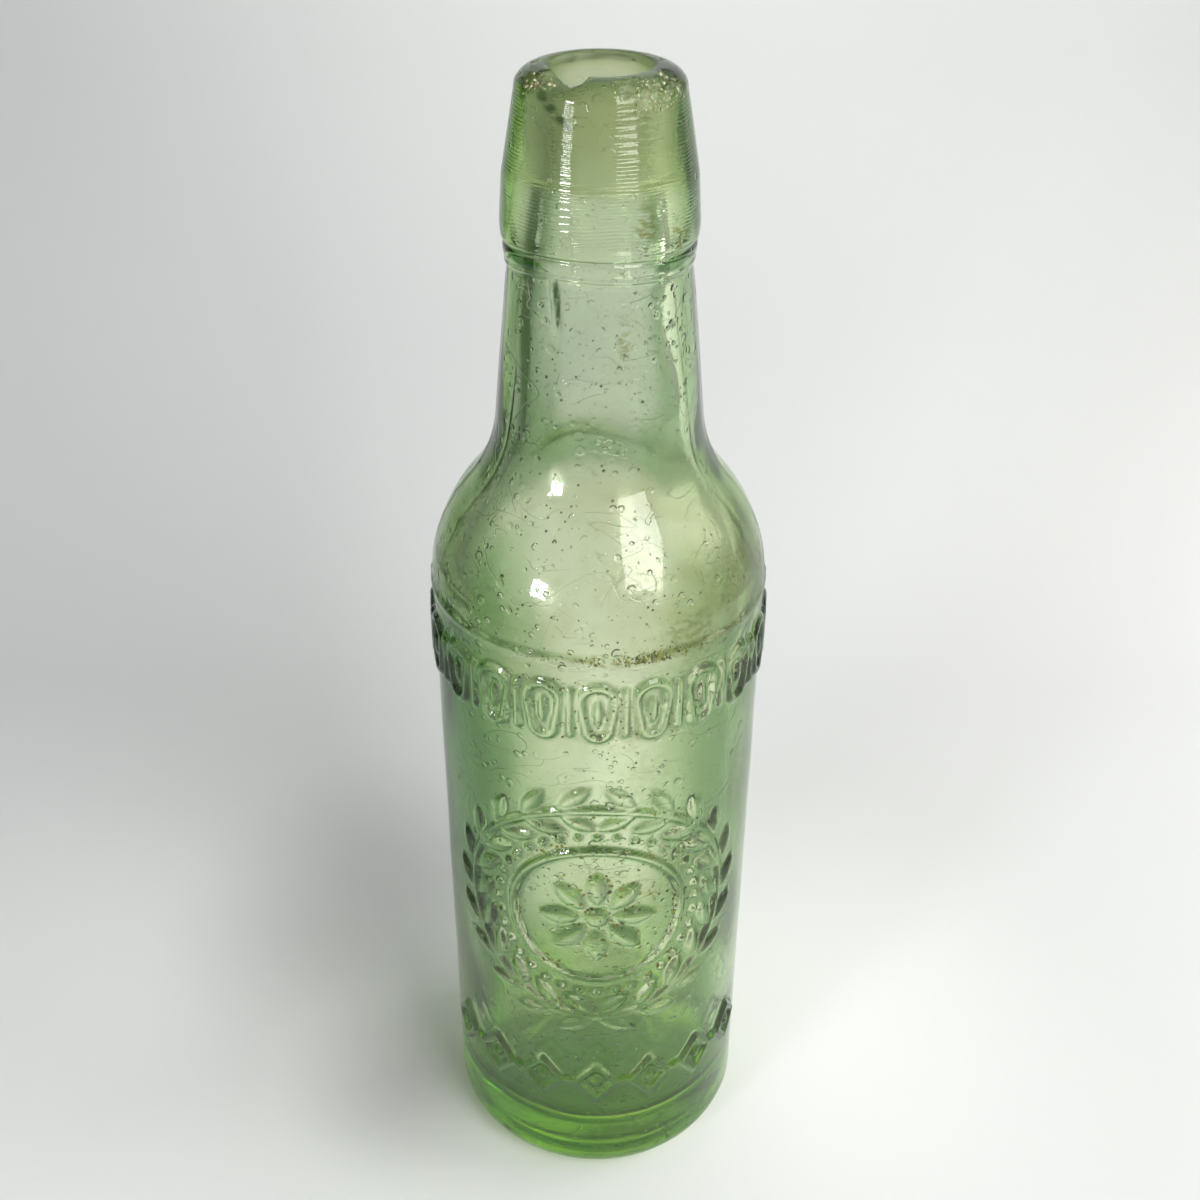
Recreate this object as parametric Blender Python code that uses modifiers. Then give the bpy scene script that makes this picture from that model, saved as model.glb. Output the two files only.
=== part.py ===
"""Old glass drinks bottle: a mould-blown body with a lip applied over the end of its neck.

The front of the bottle faces -Y. The origin is on the ground, under the middle of the base.
"""

import math

import bmesh
import bpy
from mathutils import Matrix, Vector

MM = 0.001

# Blown body, outside
BODY_RADIUS = 31.0 * MM
BODY_HEIGHT = 136.7 * MM  # ground to the top of the straight side
HEEL_RADIUS = 7.0 * MM
SHOULDER_ARC = 32.0 * MM
NECK_FILLET = 22.5 * MM  # hollow curve from the shoulder into the neck
NECK_LENGTH = 62.6 * MM  # top of the straight side to the foot of the lip
NECK_TOP_RADIUS = 15.3 * MM  # at the foot of the lip
NECK_TAPER = 0.098  # radius gained for each length going down the neck
NECK_END = 12.7 * MM  # stretch of neck that runs up inside the lip

# Blown body, inside
BODY_WALL = 5.2 * MM
NECK_WALL = 5.1 * MM
BASE_THICKNESS = 8.5 * MM  # at the middle of the base
FLOOR_DROP = 2.0 * MM  # fall of the inner floor from its middle to its edge
FLOOR_CORNER = 9.0 * MM

# Underside
PUSH_UP_DEPTH = 3.0 * MM
PUSH_UP_RADIUS = 19.5 * MM

# Raised line left where the two parts of the mould met
SEAM_HEIGHT = 0.35 * MM
SEAM_WIDTH = 1.6 * MM

# Applied lip
FIT_GAP = 0.3 * MM
LIP_HEIGHT = 29.9 * MM
LIP_BEAD_WIDTH = 0.6 * MM  # rounding of the lip's foot
LIP_BEAD_HEIGHT = 2.6 * MM
LIP_FOOT_RADIUS = 16.4 * MM
LIP_BULGE_RADIUS = 16.55 * MM
LIP_BULGE_HEIGHT = 5.6 * MM
LIP_WAIST_RADIUS = 16.0 * MM
LIP_WAIST_HEIGHT = 13.3 * MM
LIP_TOP_RADIUS = 13.7 * MM  # where the side turns into the crown
LIP_CROWN_WIDTH = 4.5 * MM
LIP_CROWN_HEIGHT = 3.2 * MM
LIP_BORE_RADIUS = 8.1 * MM
LIP_BORE_ROUNDING = 0.4 * MM

# Raised strokes and leaves on the front
STROKE_RADIUS = 0.95 * MM
STROKE_SINK = 0.1 * MM  # how far a stroke's centre lies under the surface
LEAF_RISE = 0.95 * MM
LEAF_SINK = 0.25 * MM

# Upper border: upright loops with a kernel inside, and a dart between neighbours
UPPER_BORDER_DROP = 3.6 * MM  # top of the straight side to the top of the border
UPPER_BORDER_HEIGHT = 13.0 * MM
LOOP_COUNT = 11
LOOP_PITCH = 9.8 * MM
LOOP_WIDTH = 6.2 * MM
KERNEL_WIDTH = 2.2 * MM
KERNEL_LENGTH = 6.4 * MM
DART_LENGTH = 9.0 * MM

# Lower border: lozenges with a pearl inside and a pearl between neighbours
LOWER_BORDER_HEIGHT = 24.6 * MM  # ground to the bottom of the border
LOZENGE_LENGTH = 11.6 * MM
LOZENGE_WIDTH = 7.8 * MM
LOZENGE_COUNT = 7
LOZENGE_PITCH = 11.4 * MM
PEARL_WIDTH = 2.6 * MM

# Wreath of paired leaves round a rosette
WREATH_HEIGHT = 77.5 * MM  # ground to the wreath's centre
WREATH_RADIUS = 27.0 * MM
WREATH_PAIRS = 22
WREATH_LEAF_LENGTH = 8.2 * MM
WREATH_LEAF_WIDTH = 3.4 * MM
WREATH_LEAF_OFFSET = 2.9 * MM  # stem to a leaf's middle
WREATH_LEAF_LEAN = 32.0  # degrees from the stem
RING_RADIUS = 17.0 * MM
PETAL_COUNT = 8
PETAL_LENGTH = 8.6 * MM
PETAL_WIDTH = 4.6 * MM
PETAL_OFFSET = 7.4 * MM  # rosette's centre to a petal's middle
BOSS_WIDTH = 4.4 * MM

# Smoothness
TURN_STEPS = 56
OUTER_STEPS = (8, 6)  # shoulder's arc and neck's fillet
INNER_STEPS = (6, 5)
HEEL_STEPS = 5
FLOOR_STEPS = 4
LEAF_SIDES = 4
LEAF_RINGS = 4
LOOP_TURN_STEPS = 4
WREATH_RING_STEPS = 30

SEAT_HEIGHT = BODY_HEIGHT + NECK_LENGTH


def clear_scene():
    for obj in list(bpy.data.objects):
        bpy.data.objects.remove(obj, do_unlink=True)


def make_collection(name, hidden=False):
    collection = bpy.data.collections.new(name)
    bpy.context.scene.collection.children.link(collection)
    collection.hide_render = hidden
    return collection


def make_glass(name, color, roughness):
    material = bpy.data.materials.new(name)
    material.use_nodes = True
    shader = material.node_tree.nodes["Principled BSDF"]
    shader.inputs["Base Color"].default_value = (*color, 1.0)
    shader.inputs["Roughness"].default_value = roughness
    shader.inputs["Metallic"].default_value = 0.0
    shader.inputs["IOR"].default_value = 1.52
    shader.inputs["Transmission Weight"].default_value = 0.9
    return material


def arc(centre, radius, start, end, steps):
    """Points (radius, height) along an arc, angles in radians from the outward direction."""
    angles = [start + (end - start) * i / steps for i in range(steps + 1)]
    return [(centre[0] + radius * math.cos(a), centre[1] + radius * math.sin(a)) for a in angles]


def shoulder_and_neck(arc_radius, fillet, neck_radius, top, steps):
    """Profile from the top of the straight side to the neck's end, bottom to top.

    The shoulder's arc, the hollow fillet and the leaning neck line meet without corners.
    neck_radius is the neck line's radius at the height of the lip's foot.
    """
    centre = (BODY_RADIUS - SHOULDER_ARC, BODY_HEIGHT)
    lean = math.hypot(1.0, NECK_TAPER)
    out = (1.0 / lean, NECK_TAPER / lean)
    along = (-out[1], out[0])
    line = out[0] * neck_radius + out[1] * SEAT_HEIGHT
    across = line + fillet - (out[0] * centre[0] + out[1] * centre[1])
    up = math.sqrt((arc_radius + fillet) ** 2 - across ** 2)
    hollow = (centre[0] + out[0] * across + along[0] * up, centre[1] + out[1] * across + along[1] * up)
    meet = math.atan2(hollow[1] - centre[1], hollow[0] - centre[0])
    neck_side = math.atan2(out[1], out[0]) - math.pi
    points = arc(centre, arc_radius, 0.0, meet, steps[0])
    points += arc(hollow, fillet, meet - math.pi, neck_side, steps[1])[1:]
    points.append((neck_radius - NECK_TAPER * (top - SEAT_HEIGHT), top))
    return points


def body_profile():
    """Outline of the body's glass, from the middle of the underside round to the inner floor."""
    neck_top = SEAT_HEIGHT + NECK_END
    under = [
        (PUSH_UP_RADIUS * math.sin(a), PUSH_UP_DEPTH * math.cos(a))
        for a in [math.pi / 2 * i / FLOOR_STEPS for i in range(FLOOR_STEPS + 1)]
    ]
    heel = arc((BODY_RADIUS - HEEL_RADIUS, HEEL_RADIUS), HEEL_RADIUS, -math.pi / 2, 0.0, HEEL_STEPS)

    shoulder_centre = BODY_RADIUS - SHOULDER_ARC
    seam = [
        (BODY_RADIUS, BODY_HEIGHT),
        (BODY_RADIUS + SEAM_HEIGHT, BODY_HEIGHT + SEAM_WIDTH / 2),
        (shoulder_centre + math.sqrt(SHOULDER_ARC ** 2 - SEAM_WIDTH ** 2), BODY_HEIGHT + SEAM_WIDTH),
    ]
    outer = shoulder_and_neck(SHOULDER_ARC, NECK_FILLET, NECK_TOP_RADIUS, neck_top, OUTER_STEPS)
    above = [point for point in outer if point[1] > seam[-1][1] + SEAM_WIDTH / 2]

    inner = shoulder_and_neck(
        SHOULDER_ARC - BODY_WALL,
        NECK_FILLET + NECK_WALL,
        NECK_TOP_RADIUS - NECK_WALL,
        neck_top,
        INNER_STEPS,
    )
    floor = PUSH_UP_DEPTH + BASE_THICKNESS
    corner = (BODY_RADIUS - BODY_WALL - FLOOR_CORNER, floor - FLOOR_DROP + FLOOR_CORNER)
    bottom = arc(corner, FLOOR_CORNER, 0.0, -math.pi / 2, FLOOR_STEPS)
    shares = [i / FLOOR_STEPS for i in range(FLOOR_STEPS)]
    dome = [(corner[0] * share, floor - FLOOR_DROP * share ** 2) for share in reversed(shares)]
    return under + heel + seam + above + inner[::-1] + bottom + dome


def lip_profile():
    """Closed outline of the lip's glass, up the outside, over the land and down the bore."""
    foot = SEAT_HEIGHT
    top = SEAT_HEIGHT + LIP_HEIGHT
    bead = [
        (
            LIP_FOOT_RADIUS - LIP_BEAD_WIDTH * (1.0 - math.sin(a)),
            foot + LIP_BEAD_HEIGHT * (1.0 - math.cos(a)),
        )
        for a in [math.radians(18.0 * i) for i in range(6)]
    ]
    bulge = [(LIP_BULGE_RADIUS, foot + LIP_BULGE_HEIGHT)]
    waist = [(LIP_WAIST_RADIUS, foot + LIP_WAIST_HEIGHT)]
    crown = [
        (
            LIP_TOP_RADIUS - LIP_CROWN_WIDTH * (1.0 - math.cos(a)),
            top - LIP_CROWN_HEIGHT * (1.0 - math.sin(a)),
        )
        for a in [math.radians(15.0 * i) for i in range(7)]
    ]
    mouth = (LIP_BORE_RADIUS + LIP_BORE_ROUNDING, top - LIP_BORE_ROUNDING)
    entry = arc(mouth, LIP_BORE_ROUNDING, math.pi / 2, math.pi, 4)
    roof = foot + NECK_END + FIT_GAP
    socket_foot = NECK_TOP_RADIUS + FIT_GAP
    socket = [
        (LIP_BORE_RADIUS, roof),
        (socket_foot - NECK_TAPER * (NECK_END + FIT_GAP), roof),
        (socket_foot, foot),
    ]
    return bead + bulge + waist + crown + entry + socket


def turn(name, profile, material, collection, closed):
    """Turned piece: the profile goes round Z with a Screw modifier."""
    mesh = bpy.data.meshes.new(name)
    points = [(radius, 0.0, height) for radius, height in profile]
    edges = [(i, i + 1) for i in range(len(points) - 1)]
    if closed:
        edges.append((len(points) - 1, 0))
    mesh.from_pydata(points, edges, [])
    obj = bpy.data.objects.new(name, mesh)
    obj.data.materials.append(material)
    collection.objects.link(obj)
    screw = obj.modifiers.new("Turn", "SCREW")
    screw.axis = "Z"
    screw.steps = TURN_STEPS
    screw.render_steps = TURN_STEPS
    screw.use_merge_vertices = True
    screw.merge_threshold = 0.00001
    screw.use_smooth_shade = True
    screw.use_normal_flip = True
    return obj


def on_body(along, height, rise):
    """Point on the body's side: arc length along it from the front, height, rise over the surface."""
    angle = along / BODY_RADIUS
    radius = BODY_RADIUS + rise
    return Vector((radius * math.sin(angle), -radius * math.cos(angle), height))


def add_stroke(name, route, collection, closed):
    """Raised round stroke whose route is (along, height) pairs on the body's side."""
    curve = bpy.data.curves.new(name, "CURVE")
    curve.dimensions = "3D"
    curve.bevel_depth = STROKE_RADIUS
    curve.bevel_resolution = 1
    curve.use_fill_caps = not closed
    spline = curve.splines.new("POLY")
    spline.points.add(len(route) - 1)
    spline.use_cyclic_u = closed
    for point, (along, height) in zip(spline.points, route):
        point.co = (*on_body(along, height, -STROKE_SINK), 1.0)
    guide = bpy.data.objects.new(name, curve)
    collection.objects.link(guide)
    bpy.context.view_layer.update()
    graph = bpy.context.evaluated_depsgraph_get()
    mesh = bpy.data.meshes.new_from_object(guide.evaluated_get(graph))
    bpy.data.objects.remove(guide, do_unlink=True)
    work = bmesh.new()
    work.from_mesh(mesh)
    bmesh.ops.remove_doubles(work, verts=work.verts, dist=0.00001)
    face_outwards(work)
    work.to_mesh(mesh)
    work.free()
    add_cutter(name, mesh, collection)


def add_leaf(name, along, height, length, width, lean, collection):
    """Raised almond whose length leans from upright to the right by an angle in radians."""
    work = bmesh.new()
    bmesh.ops.create_uvsphere(work, u_segments=LEAF_SIDES, v_segments=LEAF_RINGS, radius=1.0)
    shape = Matrix.Rotation(lean, 3, "Y") @ Matrix.Diagonal((width / 2, LEAF_RISE + LEAF_SINK, length / 2))
    for vert in work.verts:
        flat = shape @ vert.co
        vert.co = on_body(along + flat.x, height + flat.z, -LEAF_SINK - flat.y)
    face_outwards(work)
    mesh = bpy.data.meshes.new(name)
    work.to_mesh(mesh)
    work.free()
    add_cutter(name, mesh, collection)


def face_outwards(work):
    bmesh.ops.recalc_face_normals(work, faces=work.faces)
    if work.calc_volume(signed=True) < 0.0:
        bmesh.ops.reverse_faces(work, faces=work.faces)


def add_cutter(name, mesh, collection):
    obj = bpy.data.objects.new(name, mesh)
    obj.display_type = "WIRE"
    obj.hide_render = True
    collection.objects.link(obj)


def loop_route(middle, low, high, width):
    """Upright loop with round ends, wider at the top than at the foot."""
    upper = width / 2
    lower = width / 3
    route = []
    for i in range(LOOP_TURN_STEPS + 1):
        angle = math.pi * i / LOOP_TURN_STEPS
        route.append((middle + upper * math.cos(angle), high - upper + upper * math.sin(angle)))
    for i in range(LOOP_TURN_STEPS + 1):
        angle = math.pi + math.pi * i / LOOP_TURN_STEPS
        route.append((middle + lower * math.cos(angle), low + lower + lower * math.sin(angle)))
    return route


def add_upper_border(strokes, leaves):
    high = BODY_HEIGHT - UPPER_BORDER_DROP
    low = high - UPPER_BORDER_HEIGHT
    centre = (high + low) / 2
    for i in range(LOOP_COUNT):
        middle = (i - (LOOP_COUNT - 1) / 2) * LOOP_PITCH
        route = loop_route(middle, low + STROKE_RADIUS, high - STROKE_RADIUS, LOOP_WIDTH)
        add_stroke(f"loop_{i}", route, strokes, True)
        add_leaf(f"kernel_{i}", middle, centre, KERNEL_LENGTH, KERNEL_WIDTH, 0.0, leaves)
        if i == LOOP_COUNT - 1:
            continue
        along = middle + LOOP_PITCH / 2
        dart = [(along, centre - DART_LENGTH / 2), (along, centre + DART_LENGTH / 2)]
        add_stroke(f"dart_{i}", dart, strokes, False)


def add_lower_border(strokes, leaves):
    centre = LOWER_BORDER_HEIGHT + LOZENGE_LENGTH / 2
    half_width = LOZENGE_WIDTH / 2
    half_length = LOZENGE_LENGTH / 2 - STROKE_RADIUS
    for i in range(LOZENGE_COUNT):
        middle = (i - (LOZENGE_COUNT - 1) / 2) * LOZENGE_PITCH
        corners = [
            (middle, centre - half_length),
            (middle + half_width, centre),
            (middle, centre + half_length),
            (middle - half_width, centre),
        ]
        route = []
        for start, end in zip(corners, corners[1:] + corners[:1]):
            route.append(start)
            route.append(((start[0] + end[0]) / 2, (start[1] + end[1]) / 2))
        add_stroke(f"lozenge_{i}", route, strokes, True)
        add_leaf(f"pearl_{i}", middle, centre, PEARL_WIDTH, PEARL_WIDTH, 0.0, leaves)
        if i < LOZENGE_COUNT - 1:
            along = middle + LOZENGE_PITCH / 2
            add_leaf(f"spacer_{i}", along, centre, PEARL_WIDTH, PEARL_WIDTH, 0.0, leaves)


def ring_route(radius, steps):
    angles = [2 * math.pi * i / steps for i in range(steps)]
    return [(radius * math.sin(a), WREATH_HEIGHT + radius * math.cos(a)) for a in angles]


def add_wreath(strokes, leaves):
    add_stroke("wreath_stem", ring_route(WREATH_RADIUS, WREATH_RING_STEPS), strokes, True)
    add_stroke("rosette_ring", ring_route(RING_RADIUS, WREATH_RING_STEPS), strokes, True)
    for i in range(WREATH_PAIRS):
        around = 2 * math.pi * (i + 0.5) / WREATH_PAIRS
        half = 1 if around < math.pi else -1
        for side in (-1, 1):
            radius = WREATH_RADIUS + side * WREATH_LEAF_OFFSET
            lean = around - half * math.pi / 2 + half * side * math.radians(WREATH_LEAF_LEAN)
            add_leaf(
                f"wreath_leaf_{i}_{'outer' if side > 0 else 'inner'}",
                radius * math.sin(around),
                WREATH_HEIGHT + radius * math.cos(around),
                WREATH_LEAF_LENGTH,
                WREATH_LEAF_WIDTH,
                lean,
                leaves,
            )
    for i in range(PETAL_COUNT):
        around = 2 * math.pi * i / PETAL_COUNT
        along = PETAL_OFFSET * math.sin(around)
        height = WREATH_HEIGHT + PETAL_OFFSET * math.cos(around)
        add_leaf(f"petal_{i}", along, height, PETAL_LENGTH, PETAL_WIDTH, around, leaves)
    add_leaf("rosette_boss", 0.0, WREATH_HEIGHT, BOSS_WIDTH, BOSS_WIDTH, 0.0, leaves)


def join_relief(body, name, collection):
    """The relief is part of the body's glass. Its points meet facet edges, which EXACT leaves open."""
    union = body.modifiers.new(name, "BOOLEAN")
    union.operation = "UNION"
    union.operand_type = "COLLECTION"
    union.collection = collection
    union.solver = "MANIFOLD"


def main():
    clear_scene()
    pieces = make_collection("crown_seal_bottle")
    cutters = make_collection("cutters", hidden=True)
    strokes = bpy.data.collections.new("raised_strokes")
    leaves = bpy.data.collections.new("raised_leaves")
    cutters.children.link(strokes)
    cutters.children.link(leaves)

    body_glass = make_glass("aqua_green_glass", (0.62, 0.78, 0.58), 0.06)
    lip_glass = make_glass("yellow_green_glass", (0.70, 0.78, 0.52), 0.09)
    body = turn("blown_body", body_profile(), body_glass, pieces, False)
    body.rotation_euler.z = math.radians(90.0 / TURN_STEPS)  # no facet edge down the front's middle
    turn("applied_lip", lip_profile(), lip_glass, pieces, True)

    add_upper_border(strokes, leaves)
    add_lower_border(strokes, leaves)
    add_wreath(strokes, leaves)
    join_relief(body, "Strokes", strokes)
    join_relief(body, "Leaves", leaves)
    body.modifiers.new("Shading", "WEIGHTED_NORMAL")


main()
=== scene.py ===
import math
from functools import reduce
from itertools import chain

import bmesh
import bpy
import numpy as np
from mathutils import Matrix, Vector


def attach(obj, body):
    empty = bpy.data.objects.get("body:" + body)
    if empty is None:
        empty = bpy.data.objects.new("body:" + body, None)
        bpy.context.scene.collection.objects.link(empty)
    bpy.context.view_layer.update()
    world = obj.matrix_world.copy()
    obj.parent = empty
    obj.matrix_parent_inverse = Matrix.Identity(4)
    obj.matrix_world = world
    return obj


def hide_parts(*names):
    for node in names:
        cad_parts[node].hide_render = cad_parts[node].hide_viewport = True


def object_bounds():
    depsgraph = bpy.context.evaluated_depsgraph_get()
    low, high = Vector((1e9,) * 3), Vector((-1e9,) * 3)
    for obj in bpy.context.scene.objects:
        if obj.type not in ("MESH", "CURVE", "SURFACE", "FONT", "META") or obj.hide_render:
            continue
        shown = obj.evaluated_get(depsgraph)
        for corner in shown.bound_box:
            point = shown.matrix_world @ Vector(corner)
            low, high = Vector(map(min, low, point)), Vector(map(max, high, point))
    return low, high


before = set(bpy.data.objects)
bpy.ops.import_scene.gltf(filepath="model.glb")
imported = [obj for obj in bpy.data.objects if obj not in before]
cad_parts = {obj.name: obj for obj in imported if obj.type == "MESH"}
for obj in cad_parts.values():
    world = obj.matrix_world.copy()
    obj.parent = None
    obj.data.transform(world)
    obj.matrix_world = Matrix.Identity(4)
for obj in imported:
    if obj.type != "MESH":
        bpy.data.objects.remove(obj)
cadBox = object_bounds()
print("frame: CAD box", [round(side, 4) for corner in cadBox for side in corner])

mm = 0.001

# The bottle's turned form, as the solids under it have it
form = {
    "bodyRadius": 31.0 * mm,
    "bodyHeight": 136.7 * mm,  # top of the straight side
    "heelRadius": 7.0 * mm,
    "shoulderArc": 32.0 * mm,
    "neckFillet": 22.5 * mm,
    "neckTop": 15.3 * mm,  # radius at the lip's foot
    "neckTaper": 0.098,
    "seat": 199.3 * mm,  # height of the lip's foot
    "neckEnd": 12.7 * mm,  # how far the neck runs up inside the lip
    "bodyWall": 5.2 * mm,
    "neckWall": 5.1 * mm,
    "baseThickness": 8.5 * mm,
    "floorDrop": 2.0 * mm,
    "floorCorner": 9.0 * mm,
    "pushUpDepth": 3.0 * mm,
    "pushUpRadius": 19.5 * mm,
    "footEdge": 0.62 * mm,  # rounding of the lip's foot where it stands out from the neck
    "footEdgeTurn": 0.35,
    "beadFoot": 15.72 * mm,
    "beadTop": 16.12 * mm,
    "beadHeight": 3.1 * mm,
    "grooveRadius": 15.75 * mm,  # groove that sets the bead off
    "grooveWidths": (0.3 * mm, 0.55 * mm),
    "footRadius": 16.4 * mm,
    "bulgeRadius": 16.55 * mm,
    "bulgeHeight": 5.6 * mm,
    "waistRadius": 16.0 * mm,
    "waistHeight": 13.3 * mm,
    "lipTop": 13.7 * mm,
    "lipHeight": 29.9 * mm,
    "crownWidth": 4.5 * mm,
    "crownHeight": 3.2 * mm,
    "bore": 8.1 * mm,
    "boreRounding": 0.4 * mm,
}
rimHeight = form["seat"] + form["lipHeight"]
neckEnd = form["seat"] + form["neckEnd"]

# How finely the glass is cut into faces
fineness = {
    "frontHalf": 54.0 * mm,  # arc each side of the front that gets fine columns
    "frontColumns": 196,
    "backColumns": 76,
    "reliefStep": 0.55 * mm,
    "plainStep": 1.05 * mm,
    "lipStep": 0.75 * mm,
    "edgeStep": 0.34 * mm,
    "innerStep": 2.0 * mm,
    "lineStep": 0.05 * mm,
}


def arcPoints(centre, radius, start, end):
    count = max(4, int(abs(end - start) * radius / fineness["lineStep"]))
    angles = np.linspace(start, end, count)
    return np.stack([centre[0] + radius * np.cos(angles), centre[1] + radius * np.sin(angles)], 1)


def straightPoints(start, end):
    length = math.hypot(end[0] - start[0], end[1] - start[1])
    share = np.linspace(0.0, 1.0, max(3, int(length / fineness["lineStep"])))[:, None]
    return np.array(start) * (1 - share) + np.array(end) * share


# From the top of the straight side up to the given height, tangent all the way
def shoulderAndNeck(arcRadius, fillet, neckRadius, top):
    centre = (form["bodyRadius"] - form["shoulderArc"], form["bodyHeight"])
    lean = math.hypot(1.0, form["neckTaper"])
    out = (1.0 / lean, form["neckTaper"] / lean)
    across = out[0] * neckRadius + out[1] * form["seat"] + fillet
    across -= out[0] * centre[0] + out[1] * centre[1]
    up = math.sqrt((arcRadius + fillet) ** 2 - across ** 2)
    hollow = (centre[0] + out[0] * across - out[1] * up, centre[1] + out[1] * across + out[0] * up)
    meet = math.atan2(hollow[1] - centre[1], hollow[0] - centre[0])
    side = math.atan2(out[1], out[0]) - math.pi
    lower = arcPoints(centre, arcRadius, 0.0, meet)
    bend = arcPoints(hollow, fillet, meet - math.pi, side)
    neck = straightPoints(bend[-1], (neckRadius - form["neckTaper"] * (top - form["seat"]), top))
    return np.concatenate([lower, bend[1:], neck[1:]])


# Rounded top of the lip, from its side at zero to the land at a right angle
def crownPoints(turns):
    across = form["lipTop"] - form["crownWidth"] * (1.0 - np.cos(turns))
    up = rimHeight - form["crownHeight"] * (1.0 - np.sin(turns))
    return np.stack([across, up], -1)


# Outside of the glass from the middle of the underside up to the land of the lip
def outerLine():
    ground = form["bodyRadius"] - form["heelRadius"]
    angles = np.linspace(0.0, math.pi / 2, 400)
    under = np.stack([form["pushUpRadius"] * np.sin(angles), form["pushUpDepth"] * np.cos(angles)], 1)
    heel = arcPoints((ground, form["heelRadius"]), form["heelRadius"], -math.pi / 2, 0.0)
    side = straightPoints(heel[-1], (form["bodyRadius"], form["bodyHeight"]))
    neck = shoulderAndNeck(form["shoulderArc"], form["neckFillet"], form["neckTop"], form["seat"])
    edge = form["footEdge"]
    footEdge = arcPoints((form["neckTop"], form["seat"] + edge), edge, -math.pi / 2, form["footEdgeTurn"])
    turns = np.linspace(0.0, math.pi / 2, 120)
    low, high = form["seat"] + 1.75 * edge, form["seat"] + form["beadHeight"]
    across = form["beadFoot"] + (form["beadTop"] - form["beadFoot"]) * np.sin(turns)
    bead = np.stack([across, low + (high - low) * (1.0 - np.cos(turns))], 1)
    groove = (form["grooveRadius"], high + form["grooveWidths"][0])
    aboveGroove = (form["footRadius"], groove[1] + form["grooveWidths"][1])
    bulge = (form["bulgeRadius"], form["seat"] + form["bulgeHeight"])
    waist = (form["waistRadius"], form["seat"] + form["waistHeight"])
    collar = straightPoints(bulge, waist)
    taper = straightPoints(waist, (form["lipTop"], rimHeight - form["crownHeight"]))
    crown = crownPoints(turns)
    lip = np.concatenate([footEdge, bead, [groove, aboveGroove], collar, taper[1:], crown[1:]])
    return np.concatenate([under, heel[1:], side[1:], neck[1:], lip])


# Inside of the glass from the land down the bore to the middle of the floor
def innerLine():
    mouth = (form["bore"] + form["boreRounding"], rimHeight - form["boreRounding"])
    entry = arcPoints(mouth, form["boreRounding"], math.pi / 2, math.pi)
    bore = straightPoints((form["bore"], mouth[1]), (form["bore"], neckEnd + 0.6 * mm))
    wall = shoulderAndNeck(
        form["shoulderArc"] - form["bodyWall"],
        form["neckFillet"] + form["neckWall"],
        form["neckTop"] - form["neckWall"],
        neckEnd - 0.4 * mm,
    )[::-1]
    floor = form["pushUpDepth"] + form["baseThickness"]
    across = form["bodyRadius"] - form["bodyWall"] - form["floorCorner"]
    corner = (across, floor - form["floorDrop"] + form["floorCorner"])
    bottom = arcPoints(corner, form["floorCorner"], 0.0, -math.pi / 2)
    share = np.linspace(1.0, 0.0, 300)[1:]
    rise = np.stack([across * share, floor - form["floorDrop"] * share ** 2], 1)
    side = straightPoints(wall[-1], bottom[0])
    return np.concatenate([entry, bore[1:], wall, side[1:], bottom[1:], rise])


# Raised ornament on the front, from the same values as the solids
relief = {
    "strokeHalf": 0.95 * mm,
    "strokeRise": 0.84 * mm,
    "edge": 0.4 * mm,  # how far a stroke's foot spreads beyond its half width
    "leafRise": 0.93 * mm,
    "upperTop": 133.1 * mm,
    "upperHeight": 13.0 * mm,
    "loopCount": 11,
    "loopPitch": 9.8 * mm,
    "loopWidth": 6.2 * mm,
    "kernel": (6.4 * mm, 2.4 * mm),
    "dartLength": 9.0 * mm,
    "lowerBottom": 24.6 * mm,
    "lozenge": (11.6 * mm, 7.8 * mm),
    "lozengeCount": 7,
    "lozengePitch": 11.4 * mm,
    "pearl": 1.35 * mm,
    "wreathHeight": 77.5 * mm,
    "wreathRadius": 27.0 * mm,
    "wreathPairs": 22,
    "wreathLeaf": (8.2 * mm, 3.5 * mm),
    "wreathOffset": 2.9 * mm,
    "wreathLean": 32.0,
    "ringRadius": 17.0 * mm,
    "petalCount": 8,
    "petal": (8.6 * mm, 4.6 * mm),
    "petalOffset": 7.4 * mm,
    "boss": 2.3 * mm,
    "beadRadius": 20.6 * mm,
    "beadCount": 36,
    "bead": 0.85 * mm,
    "creaseReach": 0.9 * mm,
    "creaseDepth": 0.3 * mm,
    "flankReach": 0.3 * mm,
    "flankSlopes": (0.35, 1.0),
}


def smooth(low, high, value):
    share = np.clip((value - low) / (high - low), 0.0, 1.0)
    return share * share * (3.0 - 2.0 * share)


def stroke(distance):  # raised line with a rounded back
    return relief["strokeRise"] * smooth(relief["strokeHalf"] + relief["edge"], 0.05 * mm, distance)


def dome(distance, radius):
    return relief["strokeRise"] * 1.1 * np.sqrt(np.clip(1.0 - (distance / radius) ** 2, 0.0, 1.0))


# Almond about the origin with a ridge down its length, which leans from upright by an angle
def leaf(right, up, size, lean):
    lengthwise = (right * math.sin(lean) + up * math.cos(lean)) / (size[0] / 2)
    crosswise = (right * math.cos(lean) - up * math.sin(lean)) / (size[1] / 2)
    half = np.clip(1.0 - lengthwise ** 2, 0.0, 1.0)
    fill = np.clip(1.0 - np.abs(crosswise) / np.maximum(half, 0.02), 0.0, 1.0)
    return relief["leafRise"] * np.sqrt(half) * fill ** 0.6


# Distance to the outline round two unlike circles, the lower one at up = 0
def loopOutline(right, up, low, high, span):
    right = np.abs(right)
    slope = (low - high) / span
    level = math.sqrt(1.0 - slope * slope)
    place = level * up - slope * right
    foot = np.hypot(right, up) - low
    head = np.hypot(right, up - span) - high
    flank = right * level + up * slope - low
    return np.abs(np.where(place < 0.0, foot, np.where(place > level * span, head, flank)))


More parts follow.
